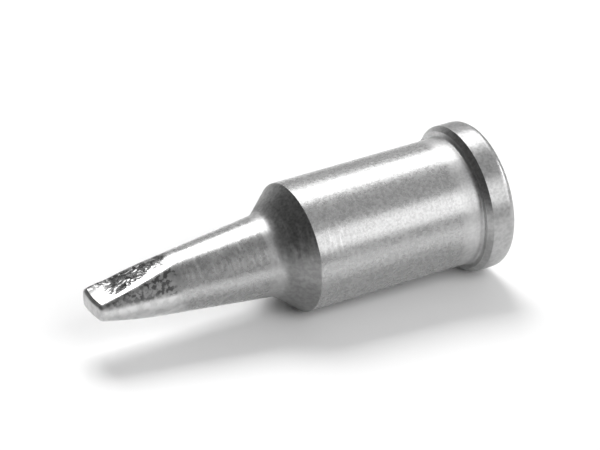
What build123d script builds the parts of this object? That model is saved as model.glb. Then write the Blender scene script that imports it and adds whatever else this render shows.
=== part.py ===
from build123d import *
import math
import os

# A turned, hollow soldering iron tip with a double-flat chisel end, made as one piece.
# Frame: the origin is the centre of the rear face of the flange, +Z runs along the turning
# axis to the working end, and the two ground flats face +Y and -Y. Lengths are in millimetres.

# Flange
flange_diameter = 10.4
flange_thickness = 2.25
flange_front_bevel_width = 0.3
flange_front_bevel_length = 0.36
flange_rear_radius = 0.65
flange_root_radius = 0.15

# Barrel and the conical shoulder in front of it
barrel_diameter = 9.0
barrel_length = 12.6
shoulder_half_angle = 40.5
shoulder_edge_radius = 0.1

# Tapered nose
neck_diameter = 5.72
neck_radius = 1.2
nose_length = 12.98

# Chisel end, over its tin
tip_width = 2.6
tip_thickness = 1.0
flat_length = 5.33
end_dome_radius = 8.0
end_edge_radius = 0.2

# Blind socket that takes the heater
socket_diameter = 6.8
socket_depth = 12.5
socket_point_angle = 118.0
socket_mouth_chamfer = 0.3

# Derived radii
flange_radius = flange_diameter / 2
barrel_radius = barrel_diameter / 2
neck_outer_radius = neck_diameter / 2
socket_radius = socket_diameter / 2
tip_corner_radius = math.hypot(tip_width / 2, tip_thickness / 2)
end_dome_height = end_dome_radius - math.sqrt(end_dome_radius**2 - tip_corner_radius**2)

# Derived stations along the axis
shoulder_z = flange_thickness + barrel_length
shoulder_length = (barrel_radius - neck_outer_radius) / math.tan(math.radians(shoulder_half_angle))
neck_z = shoulder_z + shoulder_length
end_z = neck_z + nose_length
flat_start_z = end_z - flat_length
socket_point_length = socket_radius / math.tan(math.radians(socket_point_angle / 2))

# How far the cutting tools run past the metal
cutter_overrun = 1.0


def nose_radius_at(z):
    """Radius of the tapered nose at a height between the neck and the end."""
    share = (z - neck_z) / nose_length
    return neck_outer_radius + share * (tip_corner_radius - neck_outer_radius)


def rounded(face, corner, radius):
    """The face with one corner of its outline rounded."""
    vertex = face.vertices().sort_by_distance((*corner, 0))[0]
    return fillet(vertex, radius)


def outer_section():
    """Half section of the outside, as radius across and height up."""
    flange_rear = (flange_radius, 0)
    flange_root = (barrel_radius, flange_thickness)
    shoulder_edge = (barrel_radius, shoulder_z)
    neck = (neck_outer_radius, neck_z)
    end_corner = (nose_radius_at(end_z - end_dome_height), end_z - end_dome_height)
    end_middle = (0, end_z)
    side = Polyline(
        end_middle,
        (0, 0),
        flange_rear,
        (flange_radius, flange_thickness - flange_front_bevel_length),
        (flange_radius - flange_front_bevel_width, flange_thickness),
        flange_root,
        shoulder_edge,
        neck,
        end_corner,
    )
    dome = RadiusArc(end_corner, end_middle, -end_dome_radius)
    section = make_face(side + dome)
    section = rounded(section, flange_rear, flange_rear_radius)
    section = rounded(section, flange_root, flange_root_radius)
    section = rounded(section, shoulder_edge, shoulder_edge_radius)
    return rounded(section, neck, neck_radius)


def socket_section():
    """Half section of the drilled socket, with its mouth chamfer and its drill point."""
    return make_face(
        Polyline(
            (0, -cutter_overrun),
            (socket_radius + socket_mouth_chamfer, -cutter_overrun),
            (socket_radius + socket_mouth_chamfer, 0),
            (socket_radius, socket_mouth_chamfer),
            (socket_radius, socket_depth),
            (0, socket_depth + socket_point_length),
            close=True,
        )
    )


def turned(section):
    """The solid that a half section sweeps around the turning axis."""
    return revolve(Plane.XZ * section, axis=Axis.Z)


def flat_cutter():
    """Wedge that grinds the flat on the +Y side, from its run-out on the nose to the end."""
    half_thickness = tip_thickness / 2
    slope = (nose_radius_at(flat_start_z) - half_thickness) / flat_length
    low_z = flat_start_z - cutter_overrun
    high_z = end_z + cutter_overrun
    low_y = half_thickness + slope * (end_z - low_z)
    high_y = half_thickness + slope * (end_z - high_z)
    profile = make_face(
        Polyline(
            (low_y, low_z),
            (barrel_radius, low_z),
            (barrel_radius, high_z),
            (high_y, high_z),
            close=True,
        )
    )
    return extrude(Plane.YZ * profile, amount=barrel_radius, both=True)


def chisel_tip():
    """The whole tip: turned outside, ground flats, rounded end and drilled socket."""
    body = turned(outer_section())
    cutter = flat_cutter()
    body = body - cutter - mirror(cutter, about=Plane.XZ)
    end_face = body.faces().sort_by(Axis.Z)[-1]
    body = fillet(end_face.edges(), end_edge_radius)
    return body - turned(socket_section())


os.makedirs("parts", exist_ok=True)
export_step(chisel_tip(), "parts/chisel_tip.step")
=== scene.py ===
import bpy
import math
import numpy as np
from mathutils import Matrix, Vector, noise


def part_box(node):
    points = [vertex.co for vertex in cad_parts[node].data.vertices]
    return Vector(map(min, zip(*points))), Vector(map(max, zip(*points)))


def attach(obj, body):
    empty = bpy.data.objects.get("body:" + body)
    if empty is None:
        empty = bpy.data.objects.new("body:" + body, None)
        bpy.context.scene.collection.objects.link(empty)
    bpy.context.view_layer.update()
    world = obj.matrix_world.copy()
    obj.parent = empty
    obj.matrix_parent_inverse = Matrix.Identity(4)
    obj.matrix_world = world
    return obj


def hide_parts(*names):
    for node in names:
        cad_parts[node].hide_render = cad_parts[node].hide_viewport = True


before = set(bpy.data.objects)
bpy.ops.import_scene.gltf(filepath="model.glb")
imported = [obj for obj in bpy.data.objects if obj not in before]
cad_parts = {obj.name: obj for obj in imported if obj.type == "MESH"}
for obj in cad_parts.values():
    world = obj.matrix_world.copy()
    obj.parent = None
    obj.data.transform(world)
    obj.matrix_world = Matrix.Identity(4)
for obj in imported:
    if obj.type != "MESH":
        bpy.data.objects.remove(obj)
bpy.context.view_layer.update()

MM = 0.001

# Sizes of the turned part, in metres, as in its construction
END_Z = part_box("chisel_tip")[1].z
FLANGE_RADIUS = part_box("chisel_tip")[1].x
FLANGE_THICKNESS = 2.25 * MM
FLANGE_BEVEL_WIDTH = 0.3 * MM
FLANGE_BEVEL_LENGTH = 0.36 * MM
FLANGE_REAR_ROUNDING = 0.65 * MM
FLANGE_ROOT_ROUNDING = 0.15 * MM
BARREL_RADIUS = 4.5 * MM
SHOULDER_Z = 14.85 * MM
SHOULDER_EDGE_ROUNDING = 0.1 * MM
NECK_RADIUS = 2.86 * MM
NECK_ROUNDING = 1.2 * MM
NOSE_LENGTH = 12.98 * MM
TIP_WIDTH = 2.6 * MM
TIP_THICKNESS = 1.0 * MM
FLAT_LENGTH = 5.33 * MM
END_DOME_RADIUS = 8.0 * MM
END_EDGE_ROUNDING = 0.2 * MM
SOCKET_RADIUS = 3.4 * MM
SOCKET_DEPTH = 12.5 * MM
SOCKET_MOUTH_CHAMFER = 0.3 * MM
SOCKET_POINT_ANGLE = math.radians(118)
SMALL_EDGE_ROUNDING = 0.05 * MM

RIM_FRONT_Z = FLANGE_THICKNESS - FLANGE_BEVEL_LENGTH
NECK_Z = END_Z - NOSE_LENGTH
FLAT_START_Z = END_Z - FLAT_LENGTH
TIP_CORNER_RADIUS = math.hypot(TIP_WIDTH / 2, TIP_THICKNESS / 2)
NOSE_SLOPE = (NECK_RADIUS - TIP_CORNER_RADIUS) / NOSE_LENGTH
FLAT_START_RADIUS = TIP_CORNER_RADIUS + NOSE_SLOPE * FLAT_LENGTH
FLAT_SLOPE = (FLAT_START_RADIUS - TIP_THICKNESS / 2) / FLAT_LENGTH

# The tinned blade: a low ridge runs along each flat near one edge, and the end leans a little to one side
BLADE_EDGE_ROUNDING = 0.24 * MM
SIDE_SWELL = 0.06 * MM
FLAT_SWELL = 0.09 * MM
RIDGE_START_X = -0.55 * MM
RIDGE_SLOPE = -0.11
RIDGE_WIDTH = 0.2 * MM
NEAR_LEAN = math.tan(math.radians(4))
FAR_LEAN = math.tan(math.radians(3.5))
END_LEAN = math.tan(math.radians(2))

# The tin's skin: low lumps over the whole blade, and crinkles on one side of the flats' ridge
TIN_ONSET_Z = (FLAT_START_Z - 1.0 * MM, FLAT_START_Z)
LUMP_SIZE = 1.1 * MM
LUMP_HEIGHT = 0.008 * MM
CRINKLE_SIZE = 0.45 * MM
CRINKLE_HEIGHT = 0.026 * MM
CRINKLE_SHARPNESS = 3
CRINKLE_BEND = 0.5
CRINKLE_BEND_SCALE = 0.7
CRINKLE_PATCH_SCALE = 0.6
CRINKLE_PATCH_SPAN = (-0.2, 0.2)
CRINKLE_SEED = 4
NOISE_REACH = 0.5

# Spans over which the tin's forms come and go, as shares of the flats' length
RIDGE_ONSET = (-0.06, 0.05)
RIDGE_FADE = (0.65, 0.9)
FLAT_SWELL_RISE = (0.4, 1)
SIDE_SWELL_FULL = 0.5
CRINKLE_ONSET = (0.05, 0.15)
CRINKLE_FADE = (0.7, 0.9)

# Spans of the surface's direction that tell a flat, the domed end and the upper flat from the rest
FACING_FLAT = (0.85, 0.95)
FACING_END = (0.5, 0.9)
FACING_UPPER_FLAT = (-0.93, -0.85)

# Fineness of the mesh
COLUMNS = 320
ARC_STEPS = 6
BEND_GUARD = 0.03 * MM
COARSE_STEP = 0.9 * MM
FINE_START_Z = FLAT_START_Z - 1.2 * MM
FINE_STEP = 0.042 * MM
CAP_CENTRE_Z = END_Z - 0.6 * MM
CAP_RINGS = 44
HALVINGS = 24
NORMAL_STEP = 0.003 * MM

# How the part lay in the picture: on the flange's rim and the shoulder's edge, one flat up
FLAT_TURN = math.radians(3.3)
LYING_TILT = math.atan((FLANGE_RADIUS - BARREL_RADIUS) / (SHOULDER_Z - RIM_FRONT_Z))

# The camera, as seen from the surface that the part lay on
CAMERA_LENS = 192.0
CAMERA_CLIP_START = 1.0 * MM
CAMERA_DISTANCE = 215.6 * MM
CAMERA_ELEVATION = math.radians(25.75)
CAMERA_SWING = math.radians(28.6)
CAMERA_AIM = Vector((0.36, -1.28, 13.84)) * MM

# The finish's patterns: the size and the detail of their noise
GRAIN = (0.17 * MM, 3)
MOTTLE = (0.3 * MM, 5)
TURNING_RINGS = (0.28 * MM, 2)
BLOTCHES = (0.3 * MM, 6)
BLOTCH_GROUPS = (1.0 * MM, 1)
HAZE_AND_SHADE = (0.45 * MM, 3)
CLOUDS = (0.5 * MM, 4)
BORDER_WANDER = (0.8 * MM, 3)

# A share that rises or falls over a span
RISING = (0, 1)
FALLING = (1, 0)

# Spans along the axis where the plating's finish changes
EDGE_REACH = 0.1 * MM
FLANGE_END_Z = (FLANGE_THICKNESS - EDGE_REACH, FLANGE_THICKNESS + EDGE_REACH)
ROOT_END_Z = (FLANGE_THICKNESS + 0.8 * MM, FLANGE_THICKNESS + 2.0 * MM)
RINGS_START_Z = (SHOULDER_Z - 3.2 * MM, SHOULDER_Z - 2.2 * MM)
CONE_START_Z = (SHOULDER_Z - EDGE_REACH, SHOULDER_Z + EDGE_REACH)
CONE_END_Z = (NECK_Z - 0.5 * MM, NECK_Z + 0.3 * MM)
NECK_START_Z = (NECK_Z - 0.9 * MM, NECK_Z - 0.2 * MM)
NECK_END_Z = (NECK_Z + 0.2 * MM, NECK_Z + 1.3 * MM)

# Tones and roughness of the plating, and the span of the noise that each follows
MOTTLE_TONE_SPAN = (0.35, 0.65)
PLATING_TONES = (0.51, 0.60)
MOTTLE_ROUGHNESS_SPAN = (0.3, 0.7)
PLATING_ROUGHNESS = (0.255, 0.295)
SPECKLE_SPAN = (0.38, 0.62)
SPECKLE_TONES = (-0.045, 0.045)
SPECKLE_FADE_Y = (-2.2 * MM, -0.5 * MM)
SPECKLE_FADE = (1, 0.2)
# The turning marks' lighter rings are partly painted sheen, kept to the upper side of the barrel's front
RINGS_STRETCH = (0.2, 0.2, 1)
RINGS_SPAN = (0.45, 0.7)
RINGS_AND_SHEEN_TONES = (-0.02, 0.14)
RINGS_UPPER_Y = (-3.4 * MM, -2.8 * MM)
RINGS_LOWER_Y = (-1.3 * MM, -0.7 * MM)
# Painted highlight: the barrel's root, just in front of the flange, is made lighter to stand for light it
# seems to catch there
ROOT_PAINTED_HIGHLIGHT = 0.12
# Painted highlight: the neck is made a little lighter where the nose's highlight blends into the cone
NECK_PAINTED_HIGHLIGHT = 0.04
CONE_DARKENING = 0.20
FLANGE_DARKENING = 0.08
FLANGE_DULLNESS = 0.5
MOST_DULLNESS = 2
DULL_ROUGHNESS = 0.28

# Tones, roughness, stains and painted shade of the tin, with the spans where they begin and end
TIN_BORDER_Z = FLAT_START_Z - 0.4 * MM
TIN_BORDER_WANDER = 2.4 * MM
TIN_BORDER_REACH = 0.4 * MM
CLOUD_SPAN = (0.35, 0.6)
CLEAN_TIN_TONES = (0.72, 0.86)
# The tin grows darker over the last half millimetre before the end
DARKER_END_Z = (END_Z - 0.5 * MM, END_Z - 0.1 * MM)
END_DARKENING = (0, 0.12)
TIN_ROUGHNESS_TO_UPPER_FLAT = (0.36, 0.14)
STAIN_AND_SHADE_TONE = 0.14
BLOTCH_SPAN = (0.43, 0.57)
BLOTCH_DEPTHS = (0.4, 1)
BLOTCH_GROUP_SPAN = (0.4, 0.55)
BLOTCH_GROUP_DEPTHS = (0.65, 1)
SIDE_BLOTCH_SPAN = (0.25, 1)
SIDE_BLOTCH_DEPTHS = (0.5, 1)
# The stains beyond the upper flat's ridge, and the haze that darkens its far part, are partly painted shade
SHADE_AND_STAINS_BESIDE_RIDGE = (-0.05 * MM, 0.15 * MM)
FLAT_SHADE_AND_STAINS_END_Z = (END_Z - 1.8 * MM, END_Z - 1.0 * MM)
SIDE_STAINS_X = (-0.9 * MM, -0.5 * MM)
SIDE_STAINS_Y = (-0.5 * MM, -0.1 * MM)
SIDE_STAINS_END_Z = (END_Z - 0.7 * MM, END_Z - 0.2 * MM)
HAZE_AND_SHADE_SPAN = (0.38, 0.58)
HAZE_AND_SHADE_X = (-0.4 * MM, 0.9 * MM)
HAZE_AND_SHADE_DEPTHS = (0.15, 1)
GRAIN_HEIGHT = 0.0022 * MM

# The paper, and the painted shade that makes it greyer where the metal mirrors it
FLOOR_SIZE = 1.5
PAPER_TONE = 0.95
PAPER_ROUGHNESS = 0.9
PAPER_NEARING_X = (-40 * MM, -14 * MM)
PAPER_TONES_IN_METAL = (0.36, 0.8)
PAPER_BEYOND_END_Z = (28 * MM, 45 * MM)
PAPER_BEYOND_END_SHARES = (1, 0.55)
PAPER_FADE_DISTANCE = (55 * MM, 90 * MM)

# The room, and how bright it is towards the far side and behind the flange
WHITE = (1, 1, 1, 1)
FAR_SIDE_SPAN = (-1, -0.8)
FAR_SIDE_STRENGTHS = (0.6, 0.08)
BEHIND_FLANGE_SPAN = (-0.5, 0.25)
BEHIND_FLANGE_STRENGTH = 0.52
LIGHT_DISTANCE = 0.4


def lying_axes():
    """Up from the surface, along it towards the working end, and across it towards the camera."""
    up = Vector((math.sin(FLAT_TURN), -math.cos(FLAT_TURN), 0)) * math.cos(LYING_TILT)
    up.z = -math.sin(LYING_TILT)
    along = (Vector((0, 0, 1)) - up * up.z).normalized()
    across = up.cross(along)
    return up, along, across


UP, ALONG, ACROSS = lying_axes()


def aim(obj, place, target, level):
    """Puts an object at a place, turns its -Z to a target and its X as near as it goes to a direction."""
    back = (place - target).normalized()
    right = (level - back * level.dot(back)).normalized()
    turn = Matrix((right, back.cross(right), back)).transposed().to_4x4()
    obj.matrix_world = Matrix.Translation(place) @ turn


def add_camera():
    data = bpy.data.cameras.new("camera")
    data.lens = CAMERA_LENS
    data.clip_start = CAMERA_CLIP_START
    camera = bpy.data.objects.new("camera", data)
    bpy.context.scene.collection.objects.link(camera)
    level = ACROSS * math.cos(CAMERA_SWING) + ALONG * math.sin(CAMERA_SWING)
    back = level * math.cos(CAMERA_ELEVATION) + UP * math.sin(CAMERA_ELEVATION)
    aim(camera, CAMERA_AIM + back * CAMERA_DISTANCE, CAMERA_AIM, UP.cross(level))
    bpy.context.scene.camera = camera


def nose_radius_at(z):
    return TIP_CORNER_RADIUS + NOSE_SLOPE * (END_Z - z)


def half_thickness_at(z):
    """Distance of a ground flat from the axis."""
    return TIP_THICKNESS / 2 + FLAT_SLOPE * (END_Z - z)


def profile_corners():
    """Corners of the turned half section, each with its rounding, from inside the socket to the nose."""
    socket_point_length = SOCKET_RADIUS / math.tan(SOCKET_POINT_ANGLE / 2)
    return [
        (0, SOCKET_DEPTH + socket_point_length, 0),
        (SOCKET_RADIUS, SOCKET_DEPTH, SMALL_EDGE_ROUNDING),
        (SOCKET_RADIUS, SOCKET_MOUTH_CHAMFER, SMALL_EDGE_ROUNDING),
        (SOCKET_RADIUS + SOCKET_MOUTH_CHAMFER, 0, SMALL_EDGE_ROUNDING),
        (FLANGE_RADIUS, 0, FLANGE_REAR_ROUNDING),
        (FLANGE_RADIUS, RIM_FRONT_Z, SMALL_EDGE_ROUNDING),
        (FLANGE_RADIUS - FLANGE_BEVEL_WIDTH, FLANGE_THICKNESS, SMALL_EDGE_ROUNDING),
        (BARREL_RADIUS, FLANGE_THICKNESS, FLANGE_ROOT_ROUNDING),
        (BARREL_RADIUS, SHOULDER_Z, SHOULDER_EDGE_ROUNDING),
        (NECK_RADIUS, NECK_Z, NECK_ROUNDING),
        (nose_radius_at(FINE_START_Z), FINE_START_Z, 0),
    ]


def rounded_corner(before, corner, after, radius):
    """Points of the arc that rounds one corner of the profile."""
    to_before = (before - corner).normalized()
    to_after = (after - corner).normalized()
    half_angle = to_before.angle(to_after) / 2
    reach = radius / math.tan(half_angle)
    centre = corner + (to_before + to_after).normalized() * radius / math.sin(half_angle)
    start = (corner + to_before * reach - centre).normalized()
    end = (corner + to_after * reach - centre).normalized()
    return [centre + start.slerp(end, step / ARC_STEPS) * radius for step in range(ARC_STEPS + 1)]


def straight_run(start, end):
    """Points between two bends: one close to each bend, and even steps between them."""
    length = (end - start).length
    guard = BEND_GUARD / length
    count = math.ceil(length / COARSE_STEP)
    shares = [guard] + [step / count for step in range(1, count)] + [1 - guard]
    return [start.lerp(end, share) for share in shares]


def profile_points():
    """The turned half section with its corners rounded and its straight runs divided."""
    corners = [(Vector((r, 0, z)), rounding) for r, z, rounding in profile_corners()]
    points = [corners[0][0]]
    for (before, _), (corner, rounding), (after, _) in zip(corners, corners[1:], corners[2:]):
        bend = rounded_corner(before, corner, after, rounding)
        points += straight_run(points[-1], bend[0]) + bend
    points += straight_run(points[-1], corners[-1][0])
    return points


def smooth_step(value, span):
    """0 before a span of values and 1 after it, and smooth between them."""
    low, high = span
    share = np.clip((value - low) / (high - low), 0, 1)
    return share * share * (3 - 2 * share)


def flat_share(z):
    """0 where the flats start and 1 at the end."""
    return (z - FLAT_START_Z) / FLAT_LENGTH


def ridge_x_at(z):
    return RIDGE_START_X + RIDGE_SLOPE * (z - FLAT_START_Z)


def flat_relief(x, z):
    """Height of a tinned flat above the plain ground flat."""
    share = flat_share(z)
    end = smooth_step(share, RIDGE_FADE)
    beside = x - ridge_x_at(z)
    ridge = NEAR_LEAN * np.minimum(beside, 0) - FAR_LEAN * np.maximum(beside, 0)
    lean = smooth_step(share, RIDGE_ONSET) * (ridge * (1 - end) + END_LEAN * x * end)
    return lean + FLAT_SWELL * smooth_step(share, FLAT_SWELL_RISE)


def rounded_overlap(first, second, rounding):
    """Distance from the common part of two bodies, with the edge between them rounded."""
    corner = np.hypot(np.maximum(first + rounding, 0), np.maximum(second + rounding, 0))
    return np.minimum(np.maximum(first, second), -rounding) + corner


def blade_distance(points):
    """Distance of points from the tinned blade: its cone, its two flats and its domed end."""
    x, y, z = points.T
    swell = SIDE_SWELL * np.clip(flat_share(z) / SIDE_SWELL_FULL, 0, 1)
    cone = (np.hypot(x, y) - nose_radius_at(z)) / math.hypot(1, NOSE_SLOPE) - swell
    flats = (np.abs(y) - half_thickness_at(z) - flat_relief(x, z)) / math.hypot(1, FLAT_SLOPE)
    dome = np.sqrt(x**2 + y**2 + (z - END_Z + END_DOME_RADIUS) ** 2) - END_DOME_RADIUS
    sides = rounded_overlap(cone, flats, BLADE_EDGE_ROUNDING)
    return rounded_overlap(sides, dome, END_EDGE_ROUNDING)


def blade_points(start, directions):
    """Where rays from a point inside the blade meet its surface, found by halving."""
    near = np.zeros(len(directions))
    far = np.full(len(directions), 2 * NECK_RADIUS)
    for _ in range(HALVINGS):
        middle = (near + far) / 2
        inside = blade_distance(start + directions * middle[:, None]) < 0
        near = np.where(inside, middle, near)
        far = np.where(inside, far, middle)
    return start + directions * near[:, None]


def blade_normals(points):
    offsets = np.eye(3) * NORMAL_STEP
    slopes = np.stack([blade_distance(points + o) - blade_distance(points - o) for o in offsets], 1)
    return slopes / np.linalg.norm(slopes, axis=1)[:, None]


def crinkle(place):
    """Patches of folds, as a skin of solder leaves them when it sets."""
    bent = place / CRINKLE_SIZE
    patch = smooth_step(noise.noise(bent * CRINKLE_PATCH_SCALE), CRINKLE_PATCH_SPAN)
    bent += noise.noise_vector(bent * CRINKLE_BEND_SCALE) * CRINKLE_BEND
    return patch * (1 - abs(noise.noise(bent)) / NOISE_REACH) ** CRINKLE_SHARPNESS


def tin_height(place, normal):
    """Height of the tin's skin above the plain blade at one point."""
    onset = smooth_step(place.z, TIN_ONSET_Z)
    off_end = 1 - smooth_step(normal.z, FACING_END)
    lumps = onset * LUMP_HEIGHT * noise.noise(place / LUMP_SIZE) * off_end
    share = flat_share(place.z)
    along = smooth_step(share, CRINKLE_ONSET) * (1 - smooth_step(share, CRINKLE_FADE))
    across = smooth_step(place.x - ridge_x_at(place.z), (0, RIDGE_WIDTH))
    on_flat = smooth_step(abs(normal.y), FACING_FLAT)
    return lumps + CRINKLE_HEIGHT * crinkle(place) * on_flat * along * across


def with_tin(points):
    """The blade's points moved out to the skin of the tin."""
    normals = blade_normals(points)
    heights = [tin_height(Vector(point), Vector(normal)) for point, normal in zip(points, normals)]
    return points + normals * np.array(heights)[:, None]


def ring_directions():
    """Directions straight away from the axis, one for each column of the mesh."""
    turns = np.linspace(0, 2 * math.pi, COLUMNS, endpoint=False)
    return np.stack([np.cos(turns), np.sin(turns), np.zeros(COLUMNS)], 1)


def on_axis(z):
    return np.array((0, 0, z))


def tip_rings():
    """Rings of points over the whole tip, from the bottom of the socket to the middle of the end."""
    # noise_vector adds a random shift to its noise, and the seed keeps that the same in each run
    noise.seed_set(CRINKLE_SEED)
    around = ring_directions()
    turned = profile_points()
    rings = [np.array([turned[0]])]
    rings += [around * point.x + on_axis(point.z) for point in turned[1:]]
    steps = math.ceil((CAP_CENTRE_Z - FINE_START_Z) / FINE_STEP)
    for z in np.linspace(FINE_START_Z, CAP_CENTRE_Z, steps + 1)[1:-1]:
        rings.append(with_tin(blade_points(on_axis(z), around)))
    for lift in np.linspace(0, math.pi / 2, CAP_RINGS, endpoint=False):
        directions = around * math.cos(lift) + on_axis(math.sin(lift))
        rings.append(with_tin(blade_points(on_axis(CAP_CENTRE_Z), directions)))
    rings.append(np.array([on_axis(END_Z)]))
    return rings


def tip_mesh():
    """The whole tip as rings joined by faces, with a pole at each end."""
    rings = tip_rings()
    counts = [len(ring) for ring in rings]
    bottom, *rows, top = np.cumsum([0] + counts[:-1])
    here = np.arange(COLUMNS)
    beside = np.roll(here, -1)
    faces = [(bottom, rows[0] + b, rows[0] + a) for a, b in zip(here, beside)]
    for low, high in zip(rows, rows[1:]):
        faces += np.stack([low + here, low + beside, high + beside, high + here], 1).tolist()
    faces += [(rows[-1] + a, rows[-1] + b, top) for a, b in zip(here, beside)]
    mesh = bpy.data.meshes.new("soldering_tip")
    mesh.from_pydata(np.concatenate(rings).tolist(), [], faces)
    mesh.shade_smooth()
    return mesh


class Shade:
    """The nodes of a material or of the world, with short ways to add and join them."""

    def __init__(self, owner, coordinates):
        owner.use_nodes = True
        self.owner = owner
        self.nodes = owner.node_tree.nodes
        self.place = self.add("ShaderNodeTexCoord").outputs[coordinates]

    def feed(self, node, inputs):
        """Joins outputs to a node's inputs, named or numbered, or sets them to plain values."""
        for key, value in inputs.items():
            if isinstance(value, bpy.types.NodeSocket):
                self.owner.node_tree.links.new(value, node.inputs[key])
            else:
                node.inputs[key].default_value = value

    def add(self, kind, inputs=None, operation=None):
        node = self.nodes.new(kind)
        if operation:
            node.operation = operation
        self.feed(node, inputs or {})
        return node

    def parts(self, vector):
        """The X, Y and Z of a vector."""
        return self.add("ShaderNodeSeparateXYZ", {"Vector": vector}).outputs

    def part_along(self, axis):
        """How far a place, or a direction in the world, goes along an axis."""
        inputs = {0: self.place, 1: axis}
        return self.add("ShaderNodeVectorMath", inputs, "DOT_PRODUCT").outputs["Value"]

    def noise(self, pattern, place=None):
        """Soft noise of a real size, about 0.5 in the middle."""
        size, detail = pattern
        inputs = {"Vector": place or self.place, "Scale": 1 / size, "Detail": detail}
        return self.add("ShaderNodeTexNoise", inputs).outputs["Fac"]

    def ramp(self, value, span, result):
        """A value's span, turned smoothly into another span, which may end at an output."""
        low, high = span
        start, end = result
        inputs = {"Value": value, "From Min": low, "From Max": high, "To Min": start, "To Max": end}
        node = self.add("ShaderNodeMapRange", inputs)
        node.interpolation_type = "SMOOTHSTEP"
        return node.outputs["Result"]

    def amount(self, share, most):
        """A share from 0 to 1, turned smoothly into an amount from 0 to the most."""
        return self.ramp(share, (0, 1), (0, most))

    def combine(self, operation, first, *others):
        """A sum, product or other result, taken from the first value to the last."""
        result = first
        for other in others:
            result = self.add("ShaderNodeMath", {0: result, 1: other}, operation).outputs["Value"]
        return result

    def blend(self, share, first, second):
        return self.add("ShaderNodeMix", {"Factor": share, "A": first, "B": second}).outputs["Result"]

    def blend_shaders(self, share, first, second):
        return self.add("ShaderNodeMixShader", {"Fac": share, 1: first, 2: second}).outputs["Shader"]

    def seen(self):
        """1 for what is looked at straight, and 0 for what lights it or is mirrored."""
        return self.add("ShaderNodeLightPath").outputs["Is Camera Ray"]


def tin_share(shade, z):
    """1 on the tinned blade and 0 on the plating, with an uneven border between them."""
    wander = shade.combine("MULTIPLY", shade.noise(BORDER_WANDER), TIN_BORDER_WANDER)
    border = TIN_BORDER_Z + TIN_BORDER_WANDER / 2
    span = (border - TIN_BORDER_REACH, border + TIN_BORDER_REACH)
    return shade.ramp(shade.combine("ADD", z, wander), span, RISING)


def zone(shade, value, start, end):
    """1 between two spans of a value, with a smooth change over each of them."""
    return shade.combine("MULTIPLY", shade.ramp(value, start, RISING), shade.ramp(value, end, FALLING))


def turning_marks_and_sheen(shade, y, z):
    """Faint lighter rings that the lathe left, with painted sheen: they are drawn only on the upper side of
    the barrel's front, where the metal catches the light.
    """
    stretched = shade.add("ShaderNodeVectorMath", {0: shade.place, 1: RINGS_STRETCH}, "MULTIPLY")
    rings = shade.noise(TURNING_RINGS, stretched.outputs["Vector"])
    front = shade.ramp(z, RINGS_START_Z, RISING)
    upper = zone(shade, y, RINGS_UPPER_Y, RINGS_LOWER_Y)
    return shade.combine("MULTIPLY", front, upper, shade.ramp(rings, RINGS_SPAN, RINGS_AND_SHEEN_TONES))


def plating(shade, y, z):
    """Tone and roughness of the plating, which is duller at the flange, on the cone and at the neck, with
    painted highlights at the barrel's root and at the neck.
    """
    flange = shade.ramp(z, FLANGE_END_Z, FALLING)
    root = zone(shade, z, FLANGE_END_Z, ROOT_END_Z)
    cone = zone(shade, z, CONE_START_Z, CONE_END_Z)
    neck = zone(shade, z, NECK_START_Z, NECK_END_Z)
    mottle = shade.noise(MOTTLE)
    speckle = shade.ramp(shade.noise(GRAIN), SPECKLE_SPAN, SPECKLE_TONES)
    tone = shade.combine(
        "ADD",
        shade.ramp(mottle, MOTTLE_TONE_SPAN, PLATING_TONES),
        shade.combine("MULTIPLY", speckle, shade.ramp(y, SPECKLE_FADE_Y, SPECKLE_FADE)),
        # turning marks, partly painted sheen on the upper side
        turning_marks_and_sheen(shade, y, z),
        # painted highlight at the barrel's root, next to the flange
        shade.amount(root, ROOT_PAINTED_HIGHLIGHT),
        # painted highlight at the neck
        shade.amount(neck, NECK_PAINTED_HIGHLIGHT),
        shade.amount(cone, -CONE_DARKENING),
        shade.amount(flange, -FLANGE_DARKENING),
    )
    dull_flange = shade.combine("MULTIPLY", flange, FLANGE_DULLNESS)
    dull = shade.combine("ADD", shade.combine("MAXIMUM", cone, root, dull_flange), neck)
    roughness = shade.combine(
        "ADD",
        shade.ramp(mottle, MOTTLE_ROUGHNESS_SPAN, PLATING_ROUGHNESS),
        shade.ramp(dull, (0, MOST_DULLNESS), (0, DULL_ROUGHNESS)),
    )
    return tone, roughness


def upper_flat_share(shade):
    """1 on the flat that faces -Y, and 0 on the edges and sides of the blade."""
    coordinates = shade.add("ShaderNodeTexCoord")
    facing = shade.parts(coordinates.outputs["Normal"])
    return shade.ramp(facing["Y"], FACING_UPPER_FLAT, FALLING)


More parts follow.
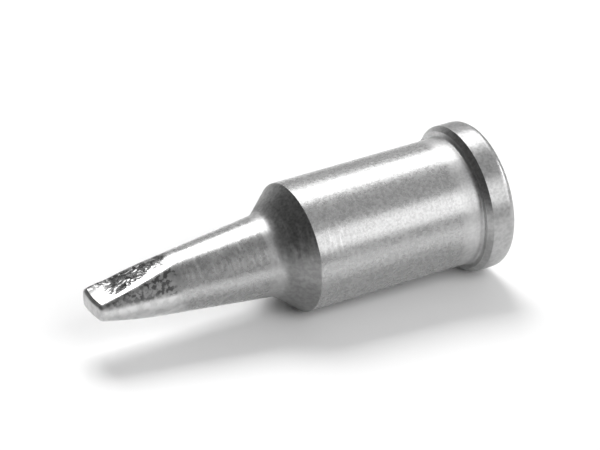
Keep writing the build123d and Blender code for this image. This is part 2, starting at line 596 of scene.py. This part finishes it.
def stains_and_shade(shade, on_flat, x, y, z):
    """Dark stains of old flux beside the upper flat's ridge and on one side's upper half, and a haze;
    beyond the ridge the stains and the haze are partly painted shade, darkening the flat's far part.
    """
    spots = shade.ramp(shade.noise(BLOTCHES), BLOTCH_SPAN, BLOTCH_DEPTHS)
    groups = shade.ramp(shade.noise(BLOTCH_GROUPS), BLOTCH_GROUP_SPAN, BLOTCH_GROUP_DEPTHS)
    spotted = shade.combine("MULTIPLY", spots, groups)
    ridge_shift = shade.combine("MULTIPLY", shade.combine("SUBTRACT", z, FLAT_START_Z), RIDGE_SLOPE)
    beside_ridge = shade.combine("SUBTRACT", x, ridge_shift, RIDGE_START_X)
    # stains and painted shade beyond the upper flat's ridge
    on_flat_part = shade.combine(
        "MULTIPLY",
        on_flat,
        shade.ramp(beside_ridge, SHADE_AND_STAINS_BESIDE_RIDGE, RISING),
        shade.ramp(z, FLAT_SHADE_AND_STAINS_END_Z, FALLING),
        spotted,
    )
    on_side_part = shade.combine(
        "MULTIPLY",
        shade.combine("SUBTRACT", 1, on_flat),
        shade.ramp(x, SIDE_STAINS_X, FALLING),
        shade.ramp(y, SIDE_STAINS_Y, FALLING),
        shade.ramp(z, SIDE_STAINS_END_Z, FALLING),
        shade.ramp(spotted, SIDE_BLOTCH_SPAN, SIDE_BLOTCH_DEPTHS),
    )
    # haze and painted shade, darker towards the flat's far side
    haze_and_shade = shade.combine(
        "MULTIPLY",
        on_flat,
        shade.ramp(x, HAZE_AND_SHADE_X, HAZE_AND_SHADE_DEPTHS),
        shade.ramp(shade.noise(HAZE_AND_SHADE), HAZE_AND_SHADE_SPAN, RISING),
    )
    return shade.combine("MAXIMUM", haze_and_shade, shade.combine("ADD", on_flat_part, on_side_part))


def tin(shade, x, y, z):
    """Tone and roughness of the tin, which is smoother on the upper flat than elsewhere."""
    on_flat = upper_flat_share(shade)
    clouds = shade.ramp(shade.noise(CLOUDS), CLOUD_SPAN, CLEAN_TIN_TONES)
    # darker towards the end
    clean = shade.combine("SUBTRACT", clouds, shade.ramp(z, DARKER_END_Z, END_DARKENING))
    # stains and painted shade darken the tin
    tone = shade.blend(stains_and_shade(shade, on_flat, x, y, z), clean, STAIN_AND_SHADE_TONE)
    return tone, shade.ramp(on_flat, (0, 1), TIN_ROUGHNESS_TO_UPPER_FLAT)


def metal():
    """Satin plating with a fine grain and painted highlights, and brighter, smoother tin on the blade with
    stains and painted shade.
    """
    shade = Shade(bpy.data.materials.new("satin_plating"), "Object")
    x, y, z = shade.parts(shade.place)
    tinned = tin_share(shade, z)
    plating_tone, plating_roughness = plating(shade, y, z)
    tin_tone, tin_roughness = tin(shade, x, y, z)
    bump = shade.add("ShaderNodeBump", {"Distance": GRAIN_HEIGHT, "Height": shade.noise(GRAIN)})
    finish = {
        "Base Color": shade.blend(tinned, plating_tone, tin_tone),
        "Roughness": shade.blend(tinned, plating_roughness, tin_roughness),
        "Metallic": 1,
        "Normal": bump.outputs["Normal"],
    }
    shade.feed(shade.nodes["Principled BSDF"], finish)
    return shade.owner


def add_tip():
    mesh = tip_mesh()
    mesh.materials.append(metal())
    tip = bpy.data.objects.new("soldering_tip", mesh)
    bpy.context.scene.collection.objects.link(tip)
    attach(tip, "root")
    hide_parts("chisel_tip")


def paper_tone(shade):
    """White where it is looked at, and greyer with painted shade where the metal mirrors it, the more so
    far away.
    """
    x, _, z = shade.parts(shade.place)
    mirrored = shade.combine(
        "MULTIPLY",
        shade.ramp(x, PAPER_NEARING_X, PAPER_TONES_IN_METAL),
        shade.ramp(z, PAPER_BEYOND_END_Z, PAPER_BEYOND_END_SHARES),
    )
    return shade.blend(shade.seen(), mirrored, PAPER_TONE)


def paper():
    """Paper that is clear from below, and that fades into the white room some way from the part."""
    shade = Shade(bpy.data.materials.new("white_paper"), "Object")
    surface = shade.nodes["Principled BSDF"]
    shade.feed(surface, {"Base Color": paper_tone(shade), "Roughness": PAPER_ROUGHNESS})
    distance = shade.add("ShaderNodeVectorMath", {0: shade.place}, "LENGTH").outputs["Value"]
    faded = shade.combine("MULTIPLY", shade.ramp(distance, PAPER_FADE_DISTANCE, RISING), shade.seen())
    from_below = shade.add("ShaderNodeNewGeometry").outputs["Backfacing"]
    hidden = shade.combine("MAXIMUM", from_below, faded)
    clear = shade.add("ShaderNodeBsdfTransparent").outputs["BSDF"]
    sheet = shade.blend_shaders(hidden, surface.outputs["BSDF"], clear)
    shade.feed(shade.nodes["Material Output"], {"Surface": sheet})
    return shade.owner


def add_floor():
    """The pale surface that the part lay on, touching the flange's rim and the shoulder's edge."""
    outward = Vector((-UP.x, -UP.y, 0)).normalized()
    contact = outward * BARREL_RADIUS + Vector((0, 0, SHOULDER_Z))
    along = ALONG * FLOOR_SIZE / 2
    across = ACROSS * FLOOR_SIZE / 2
    corners = [
        contact - along - across,
        contact + along - across,
        contact + along + across,
        contact - along + across,
    ]
    mesh = bpy.data.meshes.new("floor")
    mesh.from_pydata(corners, [], [(0, 1, 2, 3)])
    mesh.materials.append(paper())
    floor = bpy.data.objects.new("floor", mesh)
    bpy.context.scene.collection.objects.link(floor)


def add_world():
    """A dim room, brighter behind the flange and on the far side, and plain white where it is looked at."""
    world = bpy.data.worlds.new("room")
    bpy.context.scene.world = world
    shade = Shade(world, "Generated")
    far_side = shade.ramp(shade.part_along(ACROSS), FAR_SIDE_SPAN, FAR_SIDE_STRENGTHS)
    strengths = (BEHIND_FLANGE_STRENGTH, far_side)
    strength = shade.ramp(shade.part_along(ALONG), BEHIND_FLANGE_SPAN, strengths)
    room = shade.add("ShaderNodeBackground", {"Color": WHITE, "Strength": strength})
    backdrop = shade.nodes["Background"]
    shade.feed(backdrop, {"Color": WHITE})
    sides = shade.blend_shaders(shade.seen(), room.outputs["Background"], backdrop.outputs["Background"])
    shade.feed(shade.nodes["World Output"], {"Surface": sides})


def add_light(name, turn, lean, width, height, radiance, in_metal):
    """A rectangular studio light that only the metal mirrors, or that lights all but the metal.

    Its turn about the part from the camera's side, and its lean along it, are in degrees.
    """
    data = bpy.data.lights.new(name, "AREA")
    data.shape = "RECTANGLE"
    data.size = width
    data.size_y = height
    data.energy = radiance * math.pi * width * height
    light = bpy.data.objects.new(name, data)
    bpy.context.scene.collection.objects.link(light)
    turn, lean = math.radians(turn), math.radians(lean)
    sideways = ACROSS * math.cos(turn) + UP * math.sin(turn)
    direction = sideways * math.cos(lean) + ALONG * math.sin(lean)
    aim(light, CAMERA_AIM + direction * LIGHT_DISTANCE, CAMERA_AIM, ALONG)
    light.visible_camera = False
    light.visible_glossy = in_metal
    light.visible_diffuse = not in_metal


def add_lights():
    add_light("back_softbox", turn=119.6, lean=-34, width=0.168, height=0.205, radiance=2.6, in_metal=True)
    add_light("left_softbox", turn=118, lean=-6, width=0.187, height=0.325, radiance=3.0, in_metal=True)
    add_light("rear_card", turn=60, lean=-64, width=0.09, height=0.16, radiance=4.0, in_metal=True)
    add_light("right_card", turn=24, lean=-39, width=0.33, height=0.235, radiance=1.25, in_metal=True)
    add_light("paper_key", turn=125, lean=-8, width=0.20, height=0.20, radiance=9.0, in_metal=False)
    add_light("paper_fill", turn=35, lean=-10, width=0.30, height=0.30, radiance=3.2, in_metal=False)
    add_light("paper_top_fill", turn=90, lean=0, width=0.80, height=0.80, radiance=0.15, in_metal=False)


bpy.context.scene.view_settings.view_transform = "Standard"
add_camera()
add_tip()
add_floor()
add_world()
add_lights()
